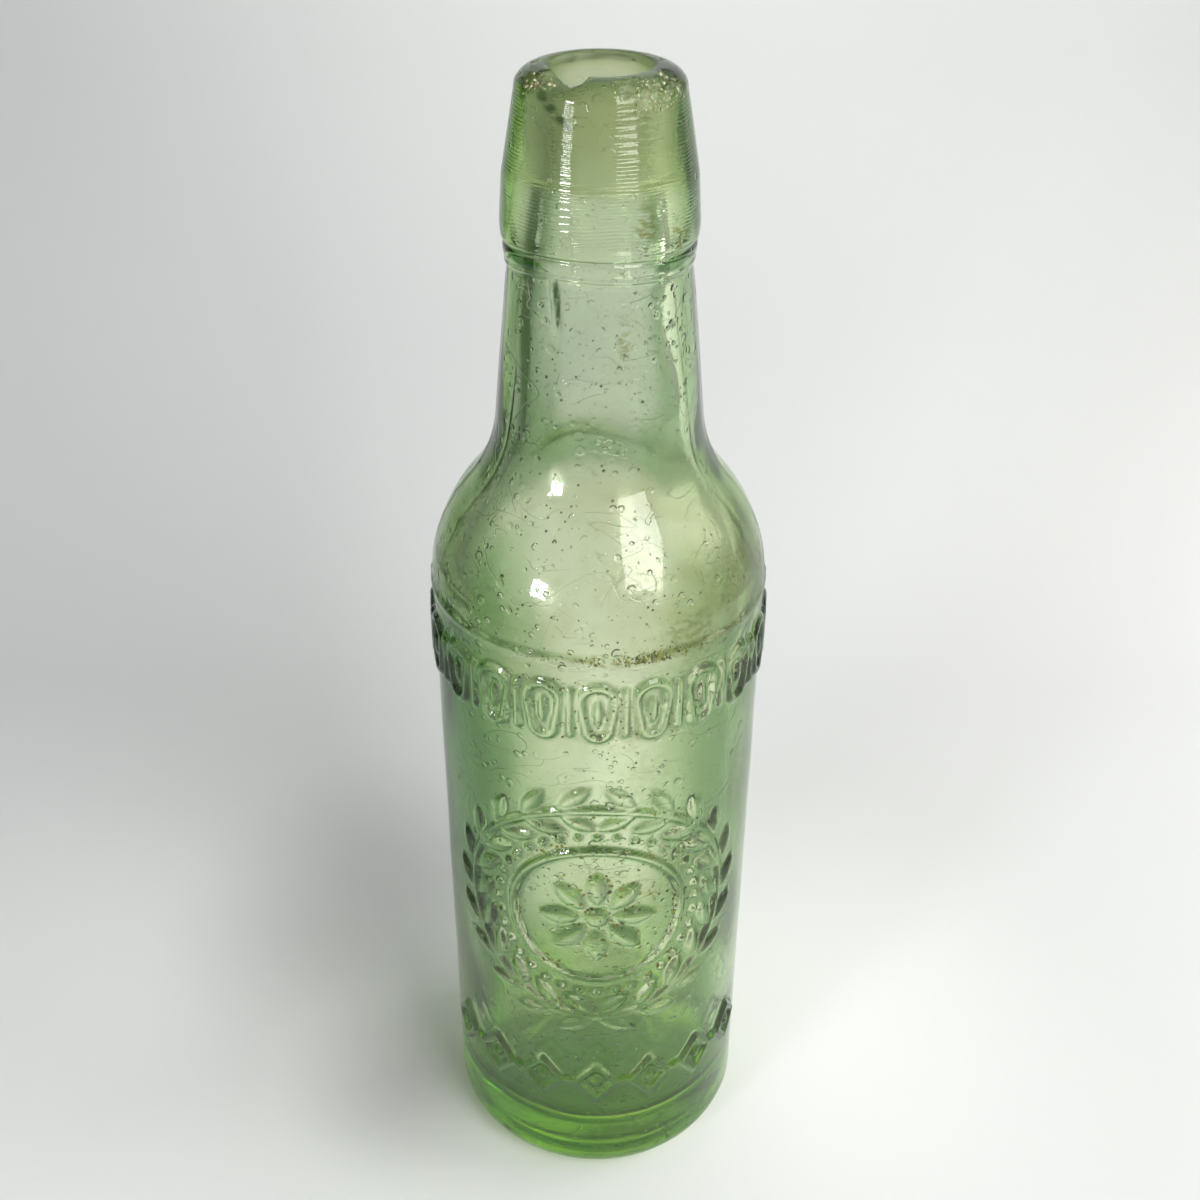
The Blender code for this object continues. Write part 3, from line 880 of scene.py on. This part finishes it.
glassLook = {
    "ior": 1.52,
    "specularLevel": 0.40,
    "clarity": 0.99,  # the rest is a film of dirt that scatters light
    "absorbColor": (0.62, 0.86, 0.095, 1.0),
    "absorbDensity": 38.0,
    "shadowTint": (0.42, 0.39, 0.41, 1.0),
    # tints of the parts, with the heights at which each starts and is full
    "bodyTint": (0.99, 0.99, 0.97, 1.0),
    # partly painted shade: the heel's deep green is the thick glass's colour and also stands in for the dark
    # floor under the bottle
    "heelColorAndShade": (0.38, 0.66, 0.035, 1.0),
    "heelFade": (44.0 * mm, 8.0 * mm),
    "heelFront": (24.0 * mm, 4.0 * mm, 0.4, 1.0),  # weaker at the back
    "neckTint": (0.83, 0.86, 0.84, 1.0),
    "neckFade": (138.0 * mm, 172.0 * mm),
    "lipTint": (0.68, 0.70, 0.55, 1.0),
    "lipFade": (211.0 * mm, 214.0 * mm),
    "crownTint": (0.53, 0.58, 0.34, 1.0),
    "crownFade": (225.5 * mm, 228.2 * mm),
    # painted shade: darker, greener glass where it turns away from the view, on the body's left and on the
    # sides of raised shapes
    "edgeShadeTint": (0.30, 0.48, 0.27, 1.0),  # painted shade where the glass turns away from the view
    "edgeFacing": (0.27, 0.60),
    "edgeFade": (228.5 * mm, 224.0 * mm, 0.2, 1.0),
    "sideShadeTint": (0.66, 0.80, 0.58, 1.0),  # painted shade the same way on the body, where it sets in sooner
    "sideFacing": (0.15, 0.42),
    "sideTop": (139.0 * mm, 130.0 * mm),
    "sideFoot": (42.0 * mm, 62.0 * mm),
    "sideOnLip": 0.6,
    "leftShadeTint": (0.40, 0.66, 0.36, 1.0),  # painted shade on the body's left, darker than the right
    "leftAcross": (-13.0 * mm, -28.0 * mm),
    "leftFoot": (58.0 * mm, 78.0 * mm),
    "flankShadeTint": (0.08, 0.30, 0.035, 1.0),  # painted shade on the sides of raised shapes
    "flankFacing": (0.22, 0.52, 0.10, 1.0),
    # colours of dirt, stains and broken glass
    "filmColor": (0.74, 0.70, 0.50, 1.0),
    "soilColor": (0.10, 0.09, 0.012, 1.0),
    "flakeColor": (1.0, 0.97, 0.88, 1.0),
    "stainColor": (0.66, 0.44, 0.20, 1.0),  # in the chip at the left
    "flakeAcross": (-9.6 * mm, -8.4 * mm),
    "flakeShare": 0.85,
    "tanColor": (0.42, 0.37, 0.12, 1.0),
    "pitLining": (0.030, 0.022, 0.005, 1.0),
    "crackColor": (0.032, 0.10, 0.003, 1.0),
    # painted shade in the lip's foot
    "lensShadeColor": (0.03, 0.17, 0.003, 1.0),
    # film over the shoulder, thicker on the right
    "filmTop": (172.0 * mm, 142.0 * mm),
    "filmFoot": (128.0 * mm, 138.0 * mm),
    "filmAcross": (-6.0 * mm, 24.0 * mm, 0.12, 0.8),
    # noises: scale, detail, the levels that each is cut between and what these give
    "wornNoise": (45.0, 2.0, 0.40, 0.52, 0.10, 1.0),
    "dotNoise": (85.0, 2.0, 0.39, 0.53, 0.0, 0.95),
    "soilNoise": (160.0, 4.0, 0.44, 0.62),
    "soilPatches": (28.0, 1.0, 0.40, 0.60, 0.10, 0.65),
    "filmPatches": (40.0, 4.0, 0.48, 0.75, 0.0, 0.6),
    "filmGrain": (210.0, 5.0, 0.30, 0.62, 0.25, 1.0),
    "tanGrain": (520.0, 5.0, 0.44, 0.60),
    "dullPatches": (70.0, 5.0, 0.45, 0.75, 0.02, 0.10),
    # round marks: scale, share of the cells that have one, size in cells
    "largePits": (230.0, 0.95, 0.19),
    "smallPits": (400.0, 0.95, 0.22),
    "dots": (760.0, 0.7, 0.20),
    "fewerOnLip": (196.0 * mm, 204.0 * mm, 1.0, 0.35),
    "unevenness": (330.0, 0.5 * mm),  # scale and reach of the push
    "tearing": (520.0, 1.1 * mm),
    # scratches: scale, width, and the scale and level of their patches
    "longScratches": (60.0, 0.004, 45.0, 0.50),
    "fineScratches": (95.0, 0.006, 70.0, 0.54),
    "dirtInScratches": 0.35,
    # roughness
    "soilRoughness": 0.6,
    "chipRoughness": 0.45,
    "insideFog": (203.0 * mm, 213.0 * mm, 0.17, 0.27),  # rougher up in the bore
    "filmDullness": (182.0 * mm, 168.0 * mm, 0.0, 0.26),
    # depths
    "ripplePitch": 0.56 * mm,
    "rippleFade": (203.0 * mm, 208.0 * mm, 0.0, 0.012 * mm),
    "toolPitch": 1.15 * mm,  # coarser marks of the lipping tool near the rim
    "toolDepth": 0.042 * mm,
    "pitDepth": 0.10 * mm,
    "scratchDepth": 0.03 * mm,
    "grainDepth": 0.006 * mm,
    "shardDepth": 0.5 * mm,
    "swellDepth": 0.05 * mm,
}

# Soft patches on the glass: middle and reach in mm, core, strength
glassPatches = {
    "wear": [  # many pits
        ((-12.5, -27.0, 149.5), (10.0, 9.0, 9.0), 0.45, 1.0),
        ((5.0, -29.0, 147.0), (14.0, 7.0, 6.0), 0.45, 1.0),
        ((22.0, -18.0, 153.0), (8.0, 10.0, 14.0), 0.45, 1.0),
        ((1.0, -20.0, 170.0), (8.0, 8.0, 5.0), 0.45, 1.0),
        ((1.0, -31.0, 140.5), (12.0, 6.0, 3.0), 0.45, 1.0),
    ],
    "stains": [  # thin and tan
        ((7.2, -14.8, 208.0), (2.6, 2.5, 5.6), 0.45, 1.0),
        ((12.5, -10.5, 206.0), (2.2, 2.5, 4.0), 0.45, 1.0),
        ((3.8, -15.0, 190.0), (1.6, 2.5, 5.0), 0.45, 0.8),
        ((16.0, -25.5, 141.0), (8.0, 5.0, 4.2), 0.45, 0.8),
        ((24.0, -18.5, 144.0), (6.0, 8.0, 7.0), 0.45, 0.5),
        ((3.0, -31.0, 137.8), (12.0, 2.5, 1.8), 0.45, 0.9),
        ((4.0, -31.0, 122.0), (9.0, 3.0, 7.0), 0.45, 0.30),
        ((9.0, -29.5, 111.0), (8.0, 3.0, 9.0), 0.45, 0.25),
    ],
    "paintedDarkLenses": [  # painted shade: dark places in the foot of the lip
        ((-12.4, -10.2, 201.2), (4.8, 4.8, 1.5), 0.7, 0.92),
        ((12.0, -11.0, 201.0), (4.6, 4.6, 1.4), 0.7, 0.92),
    ],
    "cracks": [  # dark, in the rim
        ((-8.9, -10.4, 226.8), (1.7, 1.7, 1.0), 0.35, 0.95),
        ((-7.7, -11.6, 225.4), (1.7, 1.7, 0.95), 0.35, 0.95),
        ((-5.9, -12.9, 223.8), (1.7, 1.5, 1.1), 0.35, 0.95),
        ((-5.2, -13.2, 223.1), (1.1, 1.5, 0.9), 0.35, 0.95),
        ((-12.3, -6.6, 226.2), (1.2, 1.6, 1.9), 0.35, 0.95),
    ],
    "toolMarks": [
        ((5.5, -12.5, 221.5), (4.5, 6.0, 6.0), 0.45, 1.0),
        ((-6.0, -14.0, 214.0), (4.5, 6.0, 11.0), 0.3, 0.24),
    ],
}


def glassMaterial():
    look = glassLook
    material, tree, shader = newMaterial("agedGreenGlass")
    place = tree.nodes.new("ShaderNodeTexCoord").outputs["Object"]
    across, depth, height = added(tree, "SeparateXYZ", {0: place}).outputs
    masks = {}
    for name in ("crease", "chipped", "inside", "flank"):
        attribute = tree.nodes.new("ShaderNodeAttribute")
        attribute.attribute_name = name
        masks[name] = attribute.outputs["Fac"]
    outside = ramp(tree, masks["inside"], 0.2, 0.0)

    # pits with a dirty upper edge, dots, scratches, and soil in the creases
    bent = bentPlace(tree, place, *look["unevenness"])
    pits, crescents = openBubbles(tree, bent, *look["largePits"])
    smallPits, smallCrescents = openBubbles(tree, bent, *look["smallPits"])
    worn = patchMasks(tree, place, glassPatches["wear"], patchy(tree, place, *look["wornNoise"]))
    pits = times(tree, most(tree, pits, smallPits), worn)
    crescents = times(tree, most(tree, crescents, smallCrescents), worn)
    dots = ramp(tree, spots(tree, bent, *look["dots"]), 0.0, 0.4)
    dots = times(tree, dots, patchy(tree, place, *look["dotNoise"]))
    crescents = times(tree, most(tree, crescents, dots), outside, ramp(tree, height, *look["fewerOnLip"]))
    scratches = hairlines(tree, vectors(tree, "MULTIPLY", place, (1, 1, 2.3)), *look["fineScratches"])
    scratches = maths(tree, "ADD", scratches, hairlines(tree, place, *look["longScratches"]))
    soil = times(tree, patchy(tree, place, *look["soilNoise"]), masks["crease"])
    soil = times(tree, soil, patchy(tree, place, *look["soilPatches"]))
    soil = most(tree, soil, times(tree, scratches, look["dirtInScratches"]))

    # tint: parts of the bottle from the base up, with painted shade at the heel, broken glass, film, stains,
    # painted shade in the lip's foot, cracks and dirt
    heel = times(tree, ramp(tree, height, *look["heelFade"]), ramp(tree, depth, *look["heelFront"]))
    neck, lip, crown = (ramp(tree, height, *look[name]) for name in ("neckFade", "lipFade", "crownFade"))
    flake = blend(tree, ramp(tree, across, *look["flakeAcross"]), look["stainColor"], look["flakeColor"])
    film = times(tree, ramp(tree, height, *look["filmTop"]), ramp(tree, height, *look["filmFoot"]))
    film = times(tree, film, ramp(tree, across, *look["filmAcross"]))
    film = maths(tree, "ADD", film, patchy(tree, place, *look["filmPatches"]))
    film = maths(tree, "MINIMUM", times(tree, film, patchy(tree, place, *look["filmGrain"])), 1.0)
    tan = patchy(tree, vectors(tree, "MULTIPLY", place, (1, 1, 1.8)), *look["tanGrain"])
    tan = times(tree, tan, patchMasks(tree, place, glassPatches["stains"]), outside)
    torn = bentPlace(tree, place, *look["tearing"])
    layers = [
        (heel, look["heelColorAndShade"]),
        (neck, look["neckTint"]),
        (lip, look["lipTint"]),
        (crown, look["crownTint"]),
        (times(tree, masks["chipped"], look["flakeShare"]), flake),
        (film, look["filmColor"]),
        (tan, look["tanColor"]),
        (patchMasks(tree, place, glassPatches["paintedDarkLenses"]), look["lensShadeColor"]),
        (patchMasks(tree, torn, glassPatches["cracks"]), look["crackColor"]),
        (soil, look["soilColor"]),
        (crescents, look["pitLining"]),
    ]
    tint = look["bodyTint"]
    for share, color in layers:
        tint = blend(tree, share, tint, color)

    # painted shade: darker, greener glass where it turns away from the view, on the body's left and on the
    # sides of raised shapes
    facing = added(tree, "LayerWeight", {"Blend": 0.5}).outputs["Facing"]
    onBody = times(tree, ramp(tree, height, *look["sideTop"]), ramp(tree, height, *look["sideFoot"]))
    onBody = most(tree, onBody, times(tree, lip, look["sideOnLip"]))
    leftShadeMask = times(tree, ramp(tree, across, *look["leftAcross"]), ramp(tree, height, *look["leftFoot"]))
    paintedShade = {
        "sideShadeTint": (ramp(tree, facing, *look["sideFacing"]), onBody),
        "leftShadeTint": (leftShadeMask, onBody, outside),
        "edgeShadeTint": (ramp(tree, facing, *look["edgeFacing"]), ramp(tree, height, *look["edgeFade"])),
        "flankShadeTint": (ramp(tree, facing, *look["flankFacing"]), masks["flank"]),
    }
    for name, shares in paintedShade.items():
        tint = blend(tree, times(tree, *shares), tint, look[name], "MULTIPLY")

    rough = most(
        tree,
        times(tree, soil, look["soilRoughness"]),
        times(tree, masks["chipped"], look["chipRoughness"]),
        times(tree, masks["inside"], ramp(tree, height, *look["insideFog"])),
        times(tree, film, ramp(tree, height, *look["filmDullness"])),
        patchy(tree, place, *look["dullPatches"]),
    )

    # tooling rings on the lip, slow swell, pits, scratches, grain and broken glass
    wobble = times(tree, noise(tree, vectors(tree, "MULTIPLY", place, (1, 1, 0.3)), 90.0, 1.0), 2.6)
    ripple = rings(tree, height, look["ripplePitch"], times(tree, wobble, 2 * math.pi))
    ripple = times(tree, ripple, ramp(tree, height, *look["rippleFade"]))
    tool = rings(tree, height, look["toolPitch"], times(tree, wobble, 4.0))
    tool = times(tree, tool, patchMasks(tree, place, glassPatches["toolMarks"]), look["toolDepth"])
    swell = noise(tree, vectors(tree, "MULTIPLY", place, (1, 1, 0.35)), 130.0, 1.0)
    relief = maths(
        tree,
        "ADD",
        times(tree, maths(tree, "ADD", ripple, tool), outside),
        times(tree, swell, look["swellDepth"]),
        times(tree, pits, -look["pitDepth"]),
        times(tree, scratches, -look["scratchDepth"]),
        times(tree, noise(tree, place, 900.0, 3.0), look["grainDepth"]),
        times(tree, noise(tree, place, 700.0, 4.0), masks["chipped"], look["shardDepth"]),
    )
    bump = added(tree, "Bump", {"Strength": 1.0, "Distance": 1.0, "Height": relief})

    finish = {"Base Color": tint, "Roughness": rough, "Normal": bump.outputs[0], "IOR": look["ior"]}
    finish.update({"Specular IOR Level": look["specularLevel"], "Transmission Weight": look["clarity"]})
    for name, value in finish.items():
        feed(tree, value, shader.inputs[name])
    # a shadow ray passes the glass as a clear tinted surface
    clear = added(tree, "BsdfTransparent", {"Color": look["shadowTint"]})
    shadow = tree.nodes.new("ShaderNodeLightPath").outputs["Is Shadow Ray"]
    surface = added(tree, "MixShader", {0: shadow, 1: shader.outputs[0], 2: clear.outputs[0]})
    absorb = added(tree, "VolumeAbsorption", {"Color": look["absorbColor"], "Density": look["absorbDensity"]})
    output = tree.nodes["Material Output"]
    tree.links.new(surface.outputs[0], output.inputs["Surface"])
    tree.links.new(absorb.outputs[0], output.inputs["Volume"])
    return material


# Sheet under the bottle that bends up behind it, and the room round it
stage = {
    "paperSides": (-0.75, 0.45),
    "paperFront": -0.55,
    "paperTop": 0.75,
    "paperSink": 0.1 * mm,
    "bendStart": 0.15,
    "bendRadius": 0.16,
    # painted shade: the sheet's colour falls from its pale tone to the shaded tone away from the lamps
    "paperShadedTone": (0.60, 0.60, 0.615, 1.0),
    "paperPale": (0.81, 0.81, 0.81, 1.0),
    "paperShadeFade": (-0.55, 0.22),
    "paperShade": (0.12, 0.18, 0.11, 1.0),  # painted shade at its far left end, outside the picture
    "shadeAcross": (-0.20, -0.40),
    "patches": [  # painted light and shade: pale pools of light, painted shadows and the light through the base; colour, middle and reach in mm, core and strength
        # painted light: pale pools on the sheet at the front left, right of the bottle, behind it and up the
        # bend
        ((0.94, 0.935, 0.94, 1.0), ((-140, -50, 0), (170, 150, 100), 0.0, 0.60)),
        ((0.94, 0.935, 0.94, 1.0), ((52, 15, 0), (85, 100, 100), 0.0, 0.85)),
        ((0.94, 0.935, 0.94, 1.0), ((4, 85, 0), (45, 110, 100), 0.0, 1.0)),
        ((0.94, 0.935, 0.94, 1.0), ((10, 310, 200), (240, 100, 170), 0.0, 0.55)),
        # painted shadows left of the bottle's base and further left behind it
        ((0.50, 0.49, 0.50, 1.0), ((-42, -4, 0), (36, 34, 100), 0.0, 1.0)),
        ((0.50, 0.49, 0.50, 1.0), ((-66, 45, 0), (55, 75, 100), 0.0, 0.75)),
        ((0.46, 0.64, 0.07, 1.0), ((0, 0, 0), (28.5, 28.5, 100), 0.60, 1.0)),  # lit through the base
    ],
    "roomLow": (0.035, 0.07, 0.035, 1.0),
    "roomMiddle": (0.30, 0.315, 0.30, 1.0),
    "roomTop": (0.16, 0.165, 0.175, 1.0),
    "roomSeen": (0.46, 0.47, 0.46, 1.0),
    "lowFade": (0.12, 0.50),
    "topFade": (0.70, 0.92),
}


def makePaper():
    start, radius = stage["bendStart"], stage["bendRadius"]
    turns = np.linspace(0.0, math.pi / 2, 25)
    rows = [(stage["paperFront"], 0.0)]
    rows += [(start + radius * math.sin(turn), radius * (1.0 - math.cos(turn))) for turn in turns]
    rows.append((start + radius, stage["paperTop"]))
    points = [(x, y, z - stage["paperSink"]) for y, z in rows for x in stage["paperSides"]]
    faces = [(2 * i, 2 * i + 1, 2 * i + 3, 2 * i + 2) for i in range(len(rows) - 1)]
    mesh = bpy.data.meshes.new("paperSheet")
    mesh.from_pydata(points, [], faces)
    mesh.shade_smooth()
    sheet = linked("paperSheet", mesh)
    material, tree, shader = newMaterial("palePaper")
    place = tree.nodes.new("ShaderNodeTexCoord").outputs["Object"]
    across, depth, height = added(tree, "SeparateXYZ", {0: place}).outputs
    # painted shade: darker to the left and to the back, paler to the right and towards the front
    share = times(tree, across, maths(tree, "SUBTRACT", 1.0, times(tree, height, 2.5)))
    share = maths(tree, "SUBTRACT", share, times(tree, depth, 0.9))
    color = blend(tree, ramp(tree, share, *stage["paperShadeFade"]), stage["paperShadedTone"], stage["paperPale"])
    for paintedLightAndShade, patch in stage["patches"]:
        color = blend(tree, patchMask(tree, place, patch), color, paintedLightAndShade)
    # painted shade at the far left of the sheet, which only the glass sees
    seen = tree.nodes.new("ShaderNodeLightPath").outputs["Is Camera Ray"]
    glassOnlyShade = times(tree, ramp(tree, across, *stage["shadeAcross"]), maths(tree, "SUBTRACT", 1.0, seen))
    color = blend(tree, glassOnlyShade, color, stage["paperShade"])
    for name, value in {"Base Color": color, "Roughness": 0.9, "Specular IOR Level": 0.1}.items():
        feed(tree, value, shader.inputs[name])
    # seen from behind, the sheet lets the view through
    clear = tree.nodes.new("ShaderNodeBsdfTransparent")
    behind = times(tree, seen, tree.nodes.new("ShaderNodeNewGeometry").outputs["Backfacing"])
    mix = added(tree, "MixShader", {0: behind, 1: shader.outputs[0], 2: clear.outputs[0]})
    tree.links.new(mix.outputs[0], tree.nodes["Material Output"].inputs["Surface"])
    mesh.materials.append(material)


# Dim room, palest at half height, and plain where a view or the glass looks past the sheet
def makeRoom():
    world = bpy.data.worlds.new("dimRoom")
    bpy.context.scene.world = world
    world.use_nodes = True
    tree = world.node_tree
    tree.nodes.clear()
    place = tree.nodes.new("ShaderNodeTexCoord").outputs["Generated"]
    up = added(tree, "SeparateXYZ", {0: place}).outputs["Z"]
    color = blend(tree, ramp(tree, up, *stage["lowFade"]), stage["roomLow"], stage["roomMiddle"])
    color = blend(tree, ramp(tree, up, *stage["topFade"]), color, stage["roomTop"])
    paths = tree.nodes.new("ShaderNodeLightPath").outputs
    seen = most(tree, paths["Is Camera Ray"], paths["Is Transmission Ray"], paths["Is Glossy Ray"])
    color = blend(tree, seen, color, stage["roomSeen"])
    light = added(tree, "Background", {"Color": color, "Strength": 1.0})
    added(tree, "OutputWorld", {"Surface": light.outputs[0]})


lamps = {
    "window": {
        "place": (0.65, -0.863, 0.88),
        "target": (0.0, 0.0, 0.12),
        "size": (0.64, 1.02),
        "power": 13.9,
        "color": (1.0, 0.99, 0.96),
        "lean": -16.0,
        "mirrored": True,
    },
    "sideWindow": {  # it fills the room's light and has no mirror image on the shoulder
        "place": (1.05, 0.10, 0.62),
        "target": (0.0, 0.0, 0.1),
        "size": (0.75, 0.75),
        "power": 7.0,
        "color": (1.0, 1.0, 0.98),
        "lean": 0.0,
        "mirrored": False,
    },
    "sideStrip": {
        "place": (-0.45, -0.54, 0.275),
        "target": (0.0, 0.0, 0.18),
        "size": (0.14, 0.12),
        "power": 1.6,
        "color": (0.92, 0.97, 1.0),
        "lean": 0.0,
        "mirrored": True,
    },
}


def makeLamp(name):
    values = lamps[name]
    lamp = bpy.data.lights.new(name, "AREA")
    lamp.shape = "RECTANGLE"
    lamp.size, lamp.size_y = values["size"]
    lamp.energy = values["power"]
    lamp.color = values["color"]
    obj = linked(name, lamp)
    obj.location = values["place"]
    away = Vector(values["place"]) - Vector(values["target"])
    obj.rotation_euler = away.to_track_quat("Z", "Y").to_euler()
    obj.rotation_euler.rotate_axis("Z", math.radians(values["lean"]))
    obj.visible_glossy = values["mirrored"]


camera = {
    "lens": 45.18,
    "sensor": 36.0,
    "back": 240.9 * mm,
    "height": 286.1 * mm,
    "pitch": 32.91,
    "roll": 0.276,
    "shiftX": 0.0014,
}


def makeCamera():
    data = bpy.data.cameras.new("photoCamera")
    data.lens = camera["lens"]
    data.sensor_width = camera["sensor"]
    data.shift_x = camera["shiftX"]
    data.clip_start = 0.01
    obj = linked("photoCamera", data)
    place = Matrix.Translation((0.0, -camera["back"], camera["height"]))
    tip = Matrix.Rotation(math.radians(90.0 - camera["pitch"]), 4, "X")
    roll = Matrix.Rotation(math.radians(camera["roll"]), 4, "Z")
    obj.matrix_world = place @ tip @ roll
    bpy.context.scene.camera = obj


makeCamera()
makePaper()
makeRoom()
for name in lamps:
    makeLamp(name)
bpy.context.scene.view_settings.view_transform = "Standard"
print("stage: camera, lamps and floor")

surface = makeGlass(glassMaterial())
soil = grainMaterial("driedSoil", dirt["soilColors"], 0.0)
crumbs = grainMaterial("brokenEdge", dirt["crumbColors"], 0.1)
scatter("soilGrains", dirt["soil"], *surface, soil, 31)
scatter("rimCrumbs", dirt["crumbs"], *surface, crumbs, 32)
